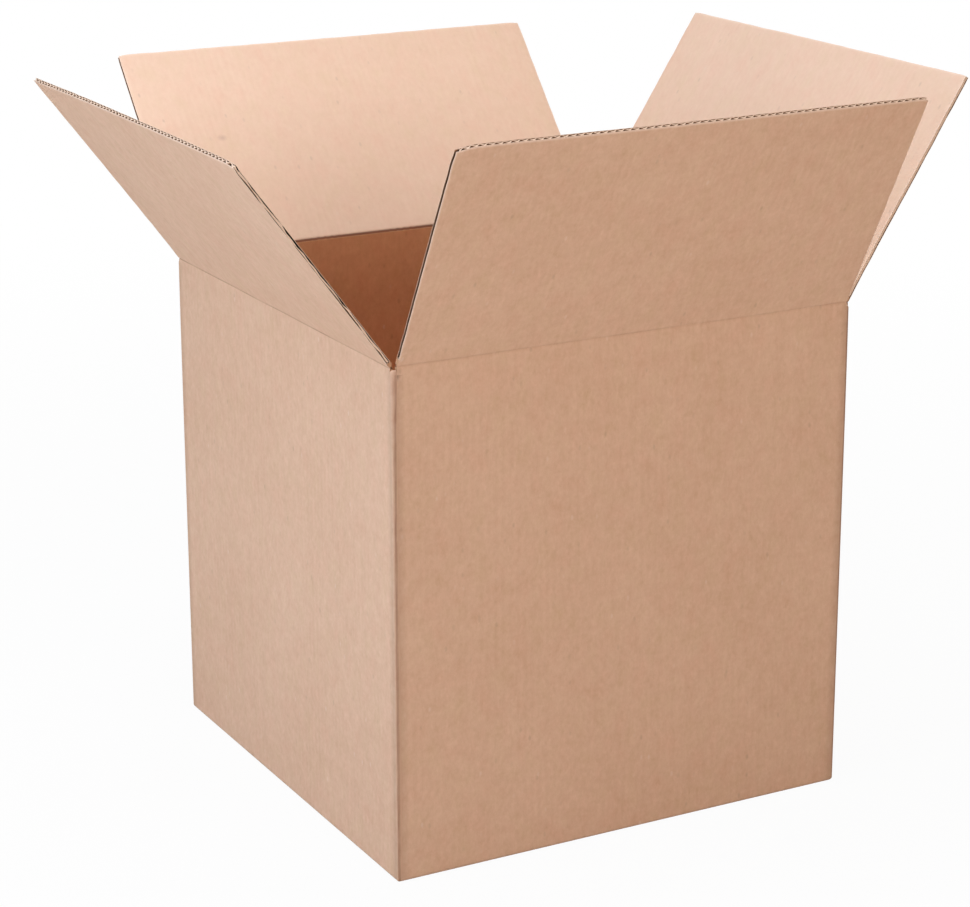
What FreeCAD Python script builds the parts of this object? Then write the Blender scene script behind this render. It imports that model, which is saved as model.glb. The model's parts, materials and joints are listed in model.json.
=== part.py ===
# An open corrugated shipping box: one folded sheet with four hinged top flaps.
#
# The box stands on its closed bottom. X runs along the front wall to the right, Y runs from
# the front wall to the back wall and Z is up. The origin is the middle of the underside.
# The front and back flaps are the outer pair and close over the left and right flaps.

import FreeCAD, Part
import math
import os

import Sketcher

SIZES = {
    # the board: two liners with a fluted sheet between them
    "board": 4.0,
    "liner": 0.5,
    "medium": 0.4,
    "flute_pitch": 7.35,
    "flute_crest": 1.0,
    # room inside the closed box
    "inside_length": 457.0,
    "inside_width": 457.0,
    "inside_height": 457.0,
    # folds and cuts
    "corner_radius": 4.5,
    "bottom_radius": 3.0,
    "slot_width": 9.0,
    "centre_gap": 1.0,
    "seam_shift": 1.0,
    "side_rise": 1.0,
    "score_clearance": 0.5,
    "pinch_length": 8.0,
    "crush_run": 10.0,
    "fold_clearance": 0.3,
    # the glued lap that closes the sheet into a tube
    "lap_width": 35.0,
    "lap_board": 3.0,
    "lap_inset": 5.0,
    "lap_taper": 9.0,
    # how far each flap leans out from upright, in degrees
    "front_lean": 28.0,
    "back_lean": 41.5,
    "left_lean": 37.0,
    "right_lean": 33.0,
}

# where the faces and creases lie, worked out from the sheet
HALF_LENGTH = "(sizes.inside_length / 2 + sizes.board)"
HALF_WIDTH = "(sizes.inside_width / 2 + sizes.board)"
FLOOR = "(2 * sizes.board)"
INNER_CREASE = "(3 * sizes.board + sizes.inside_height)"
OUTER_CREASE = f"({INNER_CREASE} + sizes.board / 2 + sizes.fold_clearance)"
SCORE = "(sizes.board + sizes.score_clearance)"
REACH = f"(min({HALF_LENGTH}; {HALF_WIDTH}) - sizes.centre_gap / 2)"
# how far a cutting outline runs past the face that it cuts
PAST = 5.0
# a cut that takes less than this, in cubic millimetres, has missed
LEAST_CUT = 1.0
# an edge lower than this lies on the underside
ON_UNDERSIDE = 1e-6


def minus(expression):
    return f"-1 * ({expression})"


def make_sheet(doc):
    sheet = doc.addObject("Spreadsheet::Sheet", "sizes")
    for row, (name, value) in enumerate(SIZES.items(), start=1):
        sheet.set(f"A{row}", name)
        sheet.set(f"B{row}", str(value))
        sheet.setAlias(f"B{row}", name)
    doc.recompute()
    return sheet


def origin_plane(body, role):
    return next(f for f in body.Origin.OriginFeatures if f.Role == role)


def outlines_sketch(body, plane, name, outlines, height="0"):
    """A sketch of closed outlines, each corner held to the origin by two bound sizes."""
    sketch = body.newObject("Sketcher::SketchObject", name)
    sketch.AttachmentSupport = (origin_plane(body, plane), "")
    sketch.MapMode = "FlatFace"
    sketch.setExpression("AttachmentOffset.Base.z", height)
    for corners in outlines:
        first = sketch.GeometryCount
        count = len(corners)
        turn = 2 * math.pi / count
        ring = [FreeCAD.Vector(math.cos(i * turn), math.sin(i * turn), 0) for i in range(count)]
        for i in range(count):
            sketch.addGeometry(Part.LineSegment(ring[i], ring[(i + 1) % count]), False)
        for i in range(count):
            following = first + (i + 1) % count
            sketch.addConstraint(Sketcher.Constraint("Coincident", first + i, 2, following, 1))
        for i, (across, up) in enumerate(corners):
            for kind, expression in (("DistanceX", across), ("DistanceY", up)):
                index = sketch.addConstraint(Sketcher.Constraint(kind, -1, 1, first + i, 1, 1.0))
                label = f"{kind}{first + i}"
                sketch.renameConstraint(index, label)
                sketch.setExpression(f"Constraints.{label}", expression)
    return sketch


def rectangle(left, low, right, high):
    return [(left, low), (right, low), (right, high), (left, high)]


def pad(body, sketch, name, length, both_ways=False):
    feature = body.newObject("PartDesign::Pad", name)
    feature.Profile = sketch
    feature.setExpression("Length", length)
    feature.Midplane = both_ways
    body.Document.recompute()
    return feature


def pocket(body, sketch, name, length, both_ways=False, upward=False):
    """A cut that must take material away, or the build stops."""
    before = body.Shape.Volume
    feature = body.newObject("PartDesign::Pocket", name)
    feature.Profile = sketch
    feature.setExpression("Length", length)
    feature.Midplane = both_ways
    feature.Reversed = upward
    body.Document.recompute()
    if body.Shape.Volume > before - LEAST_CUT:
        raise RuntimeError(f"{body.Label}: {name} cuts nothing")
    return feature


def round_edges(body, name, radius, chosen):
    """A fillet on every edge of the body's last feature that the test picks."""
    base = body.Tip
    names = [f"Edge{i}" for i, edge in enumerate(base.Shape.Edges, start=1) if chosen(edge)]
    if not names:
        raise RuntimeError(f"{body.Label}: {name} finds no edge")
    feature = body.newObject("PartDesign::Fillet", name)
    feature.Base = (base, names)
    feature.setExpression("Radius", radius)
    body.Document.recompute()
    return feature


def make_box_body(doc, sheet):
    """The four walls, the closed bottom and the glued lap, all one folded sheet."""
    body = doc.addObject("PartDesign::Body", "box_body")
    flap_half_length = f"({HALF_LENGTH} - sizes.slot_width / 2)"
    flap_half_width = f"({HALF_WIDTH} - sizes.slot_width / 2)"
    inner_half_length = "(sizes.inside_length / 2)"
    inner_half_width = "(sizes.inside_width / 2)"

    outside = rectangle(minus(HALF_LENGTH), minus(HALF_WIDTH), HALF_LENGTH, HALF_WIDTH)
    pad(body, outlines_sketch(body, "XY_Plane", "outside", [outside]), "walls", OUTER_CREASE)

    def upright(edge):
        return edge.BoundBox.ZLength > sheet.inside_height

    def underside(edge):
        return edge.BoundBox.ZMax < ON_UNDERSIDE

    round_edges(body, "rounded_corners", "sizes.corner_radius", upright)
    round_edges(body, "rounded_bottom", "sizes.bottom_radius", underside)

    inside = rectangle(
        minus(inner_half_length), minus(inner_half_width), inner_half_length, inner_half_width
    )
    hollow = outlines_sketch(body, "XY_Plane", "inside", [inside], OUTER_CREASE)
    pocket(body, hollow, "hollow", f"{OUTER_CREASE} - {FLOOR}")

    # the walls under the left and right flaps end lower, and so do the four corners
    above = f"{OUTER_CREASE} + {PAST}"
    ends = [
        rectangle(minus(f"{HALF_LENGTH} + {PAST}"), INNER_CREASE, minus(flap_half_length), above),
        rectangle(flap_half_length, INNER_CREASE, f"{HALF_LENGTH} + {PAST}", above),
    ]
    side_tops = outlines_sketch(body, "XZ_Plane", "side_tops", ends)
    pocket(body, side_tops, "side_tops_cut", f"2 * ({HALF_WIDTH} + {PAST})", both_ways=True)

    # the pressed crease under each inner flap opens inwards, from its line on the outer face
    score_low = f"{INNER_CREASE} - {SCORE}"
    past_inside = f"({inner_half_length} - {PAST})"
    past_crease = f"{INNER_CREASE} + {PAST}"
    scores = []
    for side in ("-1", "1"):
        scores.append(
            [
                (f"{side} * {HALF_LENGTH}", INNER_CREASE),
                (f"{side} * {inner_half_length}", score_low),
                (f"{side} * {past_inside}", score_low),
                (f"{side} * {past_inside}", past_crease),
                (f"{side} * {HALF_LENGTH}", past_crease),
            ]
        )
    inner_scores = outlines_sketch(body, "XZ_Plane", "inner_scores", scores)
    pocket(body, inner_scores, "inner_scores_cut", f"2 * {flap_half_width}", both_ways=True)

    # the pinched crease under each outer flap thins the wall from both faces to its middle
    axis = f"({HALF_WIDTH} - sizes.board / 2)"
    pinch_low = f"{OUTER_CREASE} - sizes.pinch_length"
    past_top = f"{OUTER_CREASE} + {PAST}"
    pinches = []
    for side in ("-1", "1"):
        for face, beyond in (
            (HALF_WIDTH, f"({HALF_WIDTH} + {PAST})"),
            (inner_half_width, f"({inner_half_width} - {PAST})"),
        ):
            pinches.append(
                [
                    (f"{side} * {axis}", OUTER_CREASE),
                    (f"{side} * {face}", pinch_low),
                    (f"{side} * {beyond}", pinch_low),
                    (f"{side} * {beyond}", past_top),
                    (f"{side} * {axis}", past_top),
                ]
            )
    for number, outline in enumerate(pinches, start=1):
        sketch = outlines_sketch(body, "YZ_Plane", f"pinch_{number}", [outline])
        pocket(body, sketch, f"pinch_{number}_cut", f"2 * {flap_half_length}", both_ways=True)

    # the underside: the seam between the outer bottom flaps, and the gap at their two ends
    seam_low = "(sizes.seam_shift - sizes.centre_gap / 2)"
    seam_high = "(sizes.seam_shift + sizes.centre_gap / 2)"
    low_cuts = [
        rectangle(minus(flap_half_length), seam_low, flap_half_length, seam_high),
        rectangle(
            minus(inner_half_length),
            minus(inner_half_width),
            minus(flap_half_length),
            inner_half_width,
        ),
        rectangle(
            flap_half_length, minus(inner_half_width), inner_half_length, inner_half_width
        ),
    ]
    for number, outline in enumerate(low_cuts, start=1):
        sketch = outlines_sketch(body, "XY_Plane", f"low_cut_{number}", [outline])
        pocket(body, sketch, f"low_cut_{number}_cut", "sizes.board", upward=True)

    # the side walls fold a little above what the box stands on
    sides = [
        rectangle(
            minus(f"{HALF_LENGTH} + {PAST}"),
            minus(f"{HALF_WIDTH} + {PAST}"),
            minus(inner_half_length),
            f"{HALF_WIDTH} + {PAST}",
        ),
        rectangle(
            inner_half_length,
            minus(f"{HALF_WIDTH} + {PAST}"),
            f"{HALF_LENGTH} + {PAST}",
            f"{HALF_WIDTH} + {PAST}",
        ),
    ]
    raised = outlines_sketch(body, "XY_Plane", "raised_sides", sides)
    pocket(body, raised, "raised_sides_cut", "sizes.side_rise", upward=True)

    # the seam between the inner bottom flaps, seen on the floor inside
    half_gap = "(sizes.centre_gap / 2)"
    floor_seam = rectangle(minus(half_gap), minus(inner_half_width), half_gap, inner_half_width)
    seam = outlines_sketch(body, "XY_Plane", "floor_seam", [floor_seam], FLOOR)
    pocket(body, seam, "floor_seam_cut", "sizes.board")

    # the lap runs on from the right wall and is glued to the inside of the back wall
    lap_low = f"({FLOOR} + sizes.lap_inset)"
    lap_high = f"({INNER_CREASE} - sizes.board - sizes.lap_inset)"
    lap_edge = f"({inner_half_length} - sizes.lap_width)"
    lap = [
        (inner_half_length, lap_low),
        (inner_half_length, lap_high),
        (lap_edge, f"{lap_high} - sizes.lap_taper"),
        (lap_edge, f"{lap_low} + sizes.lap_taper"),
    ]
    # the XZ plane faces the front, so a height above it is measured towards the front
    lap_face = f"-1 * {inner_half_width}"
    lap_sketch = outlines_sketch(body, "XZ_Plane", "lap", [lap], lap_face)
    pad(body, lap_sketch, "glued_lap", "sizes.lap_board")
    return body


def channel_pair(centre, outer_face):
    """Two flute channels: one open to the outer liner, the next to the inner liner."""
    half_pitch = "(sizes.flute_pitch / 2)"
    crest = "(sizes.flute_crest / 2)"
    wide = f"({half_pitch} - {crest} - sizes.medium)"
    outer = f"({outer_face} + sizes.liner)"
    outer_medium = f"({outer_face} + sizes.liner + sizes.medium)"
    inner = f"({outer_face} + sizes.board - sizes.liner)"
    inner_medium = f"({outer_face} + sizes.board - sizes.liner - sizes.medium)"
    second = f"({centre} + {half_pitch})"
    return [
        [
            (f"{centre} - {wide}", outer),
            (f"{centre} + {wide}", outer),
            (f"{centre} + {crest}", inner_medium),
            (f"{centre} - {crest}", inner_medium),
        ],
        [
            (f"{second} - {crest}", outer_medium),
            (f"{second} + {crest}", outer_medium),
            (f"{second} + {wide}", inner),
            (f"{second} - {wide}", inner),
        ],
    ]


def make_flap(doc, name, side_half, section, outer_face, length, placement):
    """A flap, built upright on its crease line and then leaned out.

    X lies along the crease, Y points into the box and Z runs up the flap. The flutes run
    up the flap too, so they show at its far edge and lie open along its two side edges.
    """
    body = doc.addObject("PartDesign::Body", name)
    flap_half = f"({side_half} - sizes.slot_width / 2)"
    section_sketch = outlines_sketch(body, "YZ_Plane", f"{name}_section", [section])
    pad(body, section_sketch, f"{name}_board", f"2 * {flap_half}", both_ways=True)

    count = f"(floor(2 * {flap_half} / sizes.flute_pitch) + 1)"
    first = f"(-1 * ({count} - 1) / 2 * sizes.flute_pitch)"
    pair = channel_pair(first, outer_face)
    flutes = outlines_sketch(body, "XY_Plane", f"{name}_flute", pair, length)
    cut = pocket(body, flutes, f"{name}_flute_cut", f"{length} - sizes.crush_run")

    before = body.Shape.Volume
    pattern = body.newObject("PartDesign::LinearPattern", f"{name}_flutes")
    pattern.Originals = [cut]
    pattern.Direction = (flutes, ["H_Axis"])
    pattern.setExpression("Length", f"({count} - 1) * sizes.flute_pitch")
    pattern.setExpression("Occurrences", count)
    body.Tip = pattern
    doc.recompute()
    if body.Shape.Volume > before - LEAST_CUT:
        raise RuntimeError(f"{name}: the flute pattern cuts nothing")
    body.setExpression("Placement", placement)
    return body


def make_flaps(doc):
    # an inner flap turns on its outer face, and is mitred from there
    inner_section = [
        ("0", "0"),
        ("sizes.board", SCORE),
        ("sizes.board", REACH),
        ("0", REACH),
    ]
    # an outer flap turns on the middle of the board, and is thinned from both faces
    half_board = "(sizes.board / 2)"
    outer_length = f"({REACH} - {half_board})"
    outer_section = [
        ("0", "0"),
        (half_board, "sizes.pinch_length"),
        (half_board, outer_length),
        (minus(half_board), outer_length),
        (minus(half_board), "sizes.pinch_length"),
    ]
    outer_axis = f"({HALF_WIDTH} - sizes.board / 2)"
    flaps = []
    for name, sign, turn in (("front_flap", "-1", "0"), ("back_flap", "1", "180")):
        placement = (
            f"placement(vector(0; {sign} * {outer_axis}; {OUTER_CREASE}); "
            f"rotation(vector(0; 0; 1); {turn}) * rotation(vector(1; 0; 0); sizes.{name[:-5]}_lean))"
        )
        flaps.append(
            make_flap(
                doc, name, HALF_LENGTH, outer_section, minus(half_board), outer_length, placement
            )
        )
    for name, sign, turn in (("left_flap", "-1", "-90"), ("right_flap", "1", "90")):
        placement = (
            f"placement(vector({sign} * {HALF_LENGTH}; 0; {INNER_CREASE}); "
            f"rotation(vector(0; 0; 1); {turn}) * rotation(vector(1; 0; 0); sizes.{name[:-5]}_lean))"
        )
        flaps.append(make_flap(doc, name, HALF_WIDTH, inner_section, "0", REACH, placement))
    return flaps


def check(doc, bodies):
    for item in doc.Objects:
        bad = [state for state in item.State if state in ("Invalid", "Error")]
        if bad:
            raise RuntimeError(f"{item.Label} is {bad}")
    for body in bodies:
        shape = body.Shape
        if shape.isNull() or not shape.isValid() or len(shape.Solids) != 1:
            raise RuntimeError(f"{body.Label} is not one valid solid")


def main():
    doc = FreeCAD.newDocument("open_box")
    sheet = make_sheet(doc)
    bodies = [make_box_body(doc, sheet)] + make_flaps(doc)
    doc.recompute()
    check(doc, bodies)
    os.makedirs("parts", exist_ok=True)
    for body in bodies:
        body.Shape.exportStep(f"parts/{body.Label}.step")
        print(f"{body.Label}: {body.Shape.Volume / 1000:.1f} cm3")


main()
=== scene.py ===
"""An open cardboard box: corrugated board with real flutes, pressed creases and kraft liners."""

import json
import math

import bmesh
import bpy
import numpy as np
from mathutils import Matrix, Vector


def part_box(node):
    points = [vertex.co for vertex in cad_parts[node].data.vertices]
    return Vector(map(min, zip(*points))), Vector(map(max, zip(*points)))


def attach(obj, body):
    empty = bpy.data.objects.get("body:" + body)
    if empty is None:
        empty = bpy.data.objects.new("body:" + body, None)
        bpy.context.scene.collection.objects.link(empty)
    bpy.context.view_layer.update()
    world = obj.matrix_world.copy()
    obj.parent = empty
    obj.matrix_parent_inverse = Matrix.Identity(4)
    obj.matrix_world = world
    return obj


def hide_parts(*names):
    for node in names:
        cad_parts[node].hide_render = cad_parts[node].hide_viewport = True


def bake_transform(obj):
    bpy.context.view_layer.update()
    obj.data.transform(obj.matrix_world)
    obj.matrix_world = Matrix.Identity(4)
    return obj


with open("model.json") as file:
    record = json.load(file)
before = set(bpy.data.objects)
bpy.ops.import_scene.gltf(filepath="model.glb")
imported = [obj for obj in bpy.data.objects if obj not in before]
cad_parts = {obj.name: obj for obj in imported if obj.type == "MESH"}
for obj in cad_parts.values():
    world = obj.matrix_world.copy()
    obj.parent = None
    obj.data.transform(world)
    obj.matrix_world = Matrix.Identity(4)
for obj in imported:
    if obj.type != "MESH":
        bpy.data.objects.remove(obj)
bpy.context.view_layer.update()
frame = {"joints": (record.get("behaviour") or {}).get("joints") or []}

# The board, in metres
BOARD = 0.004
LINER = 0.0004
MEDIUM = 0.0003
PITCH = 0.00735
FLUTE_STEPS = 8
LINER_STEP = PITCH / 2

# The folded sheet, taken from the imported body
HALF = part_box("box_body")[1].x
SLOT = 0.009
FLAP_HALF = HALF - SLOT / 2
CENTRE_GAP = 0.001
FLOOR_TOP = 2 * BOARD
BOTTOM_RADIUS = 0.003
WALL_TOP = 0.4633
CORNER_TOP = 0.4664
LAP_WIDTH = 0.035
LAP_BOARD = 0.003
# How far above the bottom the lap begins, how high it ends and how far it tapers at both
LAP_FOOT = 0.005
LAP_TOP = 0.460
LAP_TAPER = 0.009
PERIMETER_SIDE = 2 * HALF

# How far each flap leans out from upright, in degrees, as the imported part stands
LEAN = {"front": 28.0, "back": 41.5, "left": 37.0, "right": 33.0}
# Each flap's wall, counted along the unrolled sheet
SIDE_NUMBER = {"front": 0, "right": 1, "back": 2, "left": 3}
# Half the length of the pressed band at each crease
BAND = {"front": 0.008, "back": 0.008, "left": 0.0044, "right": 0.0044}
# Where a flute lies at the middle of each flap, as a share of a turn
FLUTE_PHASE = {"front": 0.30, "back": 0.1, "left": 0.0, "right": 0.6}
# How far the fluted paper ends inside each flap's first and last side edge
RECESS = {
    "front": (0.0035, 0.0008),
    "back": (0.0008, 0.0008),
    "left": (0.0008, 0.0),
    "right": (0.0, 0.0008),
}
# Two side edges were cut through a flute wall, so torn paper fills them: which end of the
# crease, how thick the torn paper is, how far it lies from the middle of the board and how
# uneven it is
FRAYED = {"left": (1.0, 0.0015, 0.0, 1.0), "right": (-1.0, 0.0027, 0.0006, 0.3)}
FRAY_REACH = 0.0019
# At the far edge the flute's cut end is squashed thicker, torn paper fills part of the inner
# row of flutes, and the cut pinches the board
TIP_THICK = 0.0004
TIP_FILLED = 0.55
PINCHED = 0.15
PINCH_REACH = 0.0035
TIP_REACH = 0.0035
TIP_FLATTENED = 0.08
# Where inside a cut edge the painted shade in the flutes begins, and over what length it deepens
DARK_FROM = 0.0001
DARK_OVER = 0.0013
# How far out in each liner the fluted paper may reach, as a share of the liner
SUNK_TO = 0.8

# The finishes, as each mesh numbers its materials; the inner liner comes twice, paler as painted light
# on the flaps and darker as painted shade inside the walls.
# A point's "fold" value paints shade from 0 to 1 on pressed creases, upright folds and the foot, bares
# pale fibres at -1, and tells how deep inside a flute it lies, for painted shade there
OUTSIDE, LIT_INSIDE, SHADED_WELL, CUT, FLUTE = range(5)
# How far the inner faces are shifted on the unrolled sheet, so that both sides differ
INSIDE_SHEET = 3.0


# How many waves each random surface adds up, and how near points are joined, in metres
RIPPLE_WAVES = 7
WELD_REACH = 2e-7


def ripple(x, y, seed, wave):
    """A smooth random surface between about -1 and 1, with hills about one wave apart."""
    random = np.random.default_rng(seed)
    total = np.zeros(np.broadcast(x, y).shape)
    for _ in range(RIPPLE_WAVES):
        turn = random.uniform(0, math.tau)
        pace = math.tau / wave * random.uniform(0.45, 1.15)
        shift = random.uniform(0, math.tau)
        total = total + np.sin(pace * (x * math.cos(turn) + y * math.sin(turn)) + shift)
    return total / (RIPPLE_WAVES / 2)


def smooth(x):
    """Eases from 0 to 1 as x goes from 0 to 1."""
    x = np.clip(x, 0.0, 1.0)
    return x * x * (3.0 - 2.0 * x)


class Sheets:
    """Collects closed shells of points, faces, sheet coordinates and finishes for one mesh."""

    def __init__(self):
        self.points = []
        self.faces = []
        self.finishes = []
        self.sheet = []
        self.fold = []
        self.count = 0

    def add_points(self, points, sheet, fold):
        """Adds points with their sheet coordinates and fold values, and tells the first's number."""
        start = self.count
        self.points.append(points.reshape(-1, 3))
        self.sheet.append(sheet.reshape(-1, 2))
        self.fold.append(fold.reshape(-1))
        self.count += self.points[-1].shape[0]
        return start

    def add_faces(self, faces, finish):
        """Adds quads with one finish, or with a finish for each."""
        faces = np.asarray(faces).reshape(-1, 4)
        self.faces.append(faces)
        self.finishes.append(np.broadcast_to(finish, len(faces)))

    def mesh(self, name, materials, sharp=35.0):
        """Makes the object. Edges sharper than the given angle in degrees stay sharp."""
        mesh = bpy.data.meshes.new(name)
        points = np.concatenate(self.points)
        faces = np.concatenate(self.faces)
        mesh.from_pydata(points.tolist(), [], faces.tolist())
        for material in materials:
            mesh.materials.append(material)
        mesh.polygons.foreach_set("material_index", np.concatenate(self.finishes))
        loops = np.zeros(len(mesh.loops), np.int32)
        mesh.loops.foreach_get("vertex_index", loops)
        uv = mesh.uv_layers.new(name="sheet")
        uv.data.foreach_set("uv", np.concatenate(self.sheet)[loops].ravel())
        fold = mesh.attributes.new("fold", "FLOAT", "POINT")
        fold.data.foreach_set("value", np.concatenate(self.fold).astype(np.float32))
        mesh.polygons.foreach_set("use_smooth", np.ones(len(mesh.polygons), bool))
        weld(mesh)
        mesh.set_sharp_from_angle(angle=math.radians(sharp))
        thing = bpy.data.objects.new(name, mesh)
        bpy.context.scene.collection.objects.link(thing)
        return thing


def weld(mesh):
    """Joins points that lie on each other, so that each shell is closed."""
    work = bmesh.new()
    work.from_mesh(mesh)
    bmesh.ops.remove_doubles(work, verts=work.verts, dist=WELD_REACH)
    bmesh.ops.recalc_face_normals(work, faces=work.faces)
    work.to_mesh(mesh)
    work.free()


def grid_faces(start, rows, columns, flip=False):
    """The faces of a grid of points that begins at the given number."""
    index = start + np.arange(rows * columns).reshape(rows, columns)
    a, b = index[:-1, :-1], index[1:, :-1]
    c, d = index[1:, 1:], index[:-1, 1:]
    quads = np.stack([a, d, c, b] if flip else [a, b, c, d], axis=-1)
    return quads.reshape(-1, 4)


def rim_faces(low, high, rows, columns):
    """The side strips that close two grids into a slab: two along the rows, then two across."""
    first = low + np.arange(rows * columns).reshape(rows, columns)
    second = high + np.arange(rows * columns).reshape(rows, columns)
    strips = []
    for edge in (np.s_[0, :], np.s_[-1, :], np.s_[:, 0], np.s_[:, -1]):
        a, b = first[edge], second[edge]
        strips.append(np.stack([a[:-1], a[1:], b[1:], b[:-1]], axis=-1))
    return strips


def slab(sheets, u, v, low, high, place, sheet, finishes, deep=0.0):
    """A closed slab over the grid u by v, between two heights through the board.

    deep tells how far inside the board each point of a fluted side lies. The outer sides are
    marked with -1 along their cut edges, where the liner is rubbed pale."""
    rows, columns = u.shape
    rim = np.zeros(u.shape)
    rim[[0, -1], :] = -1.0
    rim[:, -1] = -1.0
    inner = np.broadcast_to(deep, u.shape)
    shade = [inner if finish == FLUTE else rim for finish in finishes]
    low_at = sheets.add_points(place(u, low, v), sheet(u, v, False), shade[0])
    high_at = sheets.add_points(place(u, high, v), sheet(u, v, True), shade[1])
    sheets.add_faces(grid_faces(low_at, rows, columns), finishes[0])
    sheets.add_faces(grid_faces(high_at, rows, columns, flip=True), finishes[1])
    sheets.add_faces(np.concatenate(rim_faces(low_at, high_at, rows, columns)), CUT)


class Hinge:
    """Where a flap turns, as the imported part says, and the directions around it."""

    def __init__(self, side):
        joint = next(j for j in frame["joints"] if j["child"] == side)
        self.side = side
        self.at = np.array(joint["pos_m"], float)
        self.along = np.array(joint["axis"], float)
        self.up = np.array([0.0, 0.0, 1.0])
        self.inward = np.cross(self.up, self.along)
        self.depth = HALF - abs(self.at @ self.inward)
        self.length = HALF - self.depth - CENTRE_GAP / 2
        self.lean = math.radians(LEAN[side])
        self.band = BAND[side]

    def place(self, u, w, v, turn):
        """A point u along the crease, w through the board from its outer face, v up it."""
        w = w - self.depth
        across = w * np.cos(turn) - v * np.sin(turn)
        above = w * np.sin(turn) + v * np.cos(turn)
        parts = (u[..., None] * self.along, across[..., None] * self.inward, above[..., None] * self.up)
        return self.at + parts[0] + parts[1] + parts[2]

    def sheet(self, u, v, inside):
        """The same point on the unrolled sheet."""
        along = SIDE_NUMBER[self.side] * PERIMETER_SIDE + u + (INSIDE_SHEET if inside else 0.0)
        return np.stack([along, self.at[2] + v], axis=-1)


# Small bends of each flap: the far edge's twist and bow, in metres. The outer pair bends
# outwards and the inner pair inwards, so that they stay clear of each other when closed
TWIST = {"front": 0.0003, "back": 0.0, "left": 0.0, "right": 0.0008}
BOW = {"front": 0.0004, "back": 0.0005, "left": 0.0012, "right": 0.0010}
BENDS_INWARDS = {"front": -1.0, "back": -1.0, "left": 1.0, "right": 1.0}
# How uneven the faces, the side edges and the far edge of each flap are, in metres
FACE_UNEVEN = 0.0002
SIDE_UNEVEN = 0.00015
TIP_UNEVEN = 0.0002
# Worn corners: which end of the crease, how far the wear reaches, how far it is pushed down
# the flap and how far through the board, in metres
CORNER_WEAR = {
    "front": ((-1.0, 0.0105, 0.0042, 0.0010), (1.0, 0.005, 0.0010, 0.0)),
    "back": ((1.0, 0.005, 0.0010, 0.0), (-1.0, 0.006, 0.0010, 0.0)),
    "left": ((1.0, 0.0080, 0.0042, 0.0010), (-1.0, 0.004, 0.0006, 0.0)),
    "right": ((-1.0, 0.004, 0.0005, 0.0), (1.0, 0.005, 0.0008, 0.0)),
}


def bend(side, u, w, v, length):
    """How the flap's flat board is out of true: its twist, its bow and its worn corners."""
    across = u / FLAP_HALF
    out = np.clip(v / length, 0.0, 1.0)
    seed = 10 + SIDE_NUMBER[side]
    give = TWIST[side] * (1.0 - across) / 2 * out ** 2
    give = give + BOW[side] * (1.0 - across ** 2) * out ** 2
    give = give + FACE_UNEVEN * (1.0 + 0.7 * ripple(u, v, seed, 0.16)) * smooth(out * 3.0)
    # the two side edges wave a little where the cut opened a flute
    near_edge = np.exp(-np.maximum(FLAP_HALF - np.abs(u), 0.0) / 0.006)
    wave = 1.0 + ripple(v, np.sign(u) * 0.4, seed + 20, 0.02)
    give = give + SIDE_UNEVEN * near_edge * wave * smooth(out * 8.0)
    w = w + BENDS_INWARDS[side] * give
    u = u + SIDE_UNEVEN * near_edge * ripple(v, np.sign(u) * 0.7, seed + 40, 0.02)
    # the far edge is a little uneven
    near_tip = np.exp(-np.maximum(length - v, 0.0) / 0.004)
    v = v + TIP_UNEVEN * near_tip * (ripple(u, 0.0, seed + 60, 0.03) - 1.0)
    for end, reach, down, inwards in CORNER_WEAR[side]:
        gap_u = np.maximum(FLAP_HALF - end * u, 0.0)
        gap_v = np.maximum(length - v, 0.0)
        near = np.exp(-((gap_u / reach) ** 2) - (gap_v / reach) ** 2)
        v = v - down * near
        u = u - end * 0.3 * down * near
        w = w + inwards * near
    return u, w, v


def even(start, stop, step):
    """Even stations from start to stop, about one step apart."""
    return np.linspace(start, stop, max(2, int(round((stop - start) / step)) + 1))


def rows_of(start, stop, near_start, near_stop, step):
    """Even steps, with close ones at both ends."""
    inner = even(start + near_start, stop - near_stop, step)
    first = np.linspace(start, start + near_start, 4)[:-1]
    last = np.linspace(stop - near_stop, stop, 6)[1:]
    return np.concatenate([first, inner, last])


def depth_inside(u, v, length):
    """How deep a point lies inside the open flutes, from 0 at a cut edge to 1."""
    gap = np.minimum(FLAP_HALF - np.abs(u), length - v)
    return smooth((gap - DARK_FROM) / DARK_OVER)


def flap_board(hinge, materials):
    """One flap: two liners and the fluted medium between them, open at its cut edges."""
    side, length = hinge.side, hinge.length

    def place(u, w, v):
        gap = np.minimum(FLAP_HALF - np.abs(u), length - v)
        pinch = 1.0 - PINCHED * smooth(1.0 - gap / PINCH_REACH) * smooth((v - hinge.band) / 0.01)
        w = BOARD / 2 + (w - BOARD / 2) * pinch
        u, w, v = bend(side, u, w, v, length)
        return hinge.place(u, w, v, hinge.lean)

    sheets = Sheets()
    us = rows_of(-FLAP_HALF, FLAP_HALF, 0.006, 0.006, LINER_STEP)
    vs = rows_of(hinge.band, length, 0.004, 0.012, 0.006)
    u, v = np.meshgrid(us, vs, indexing="ij")
    flat = np.zeros(u.shape)
    deep = depth_inside(u, v, length)
    slab(sheets, u, v, flat, flat + LINER, place, hinge.sheet, (OUTSIDE, FLUTE), deep)
    slab(sheets, u, v, flat + BOARD - LINER, flat + BOARD, place, hinge.sheet, (FLUTE, LIT_INSIDE), deep)
    fluted_medium(sheets, hinge, place)
    return sheets.mesh(f"{side}_flap_board", materials)


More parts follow.
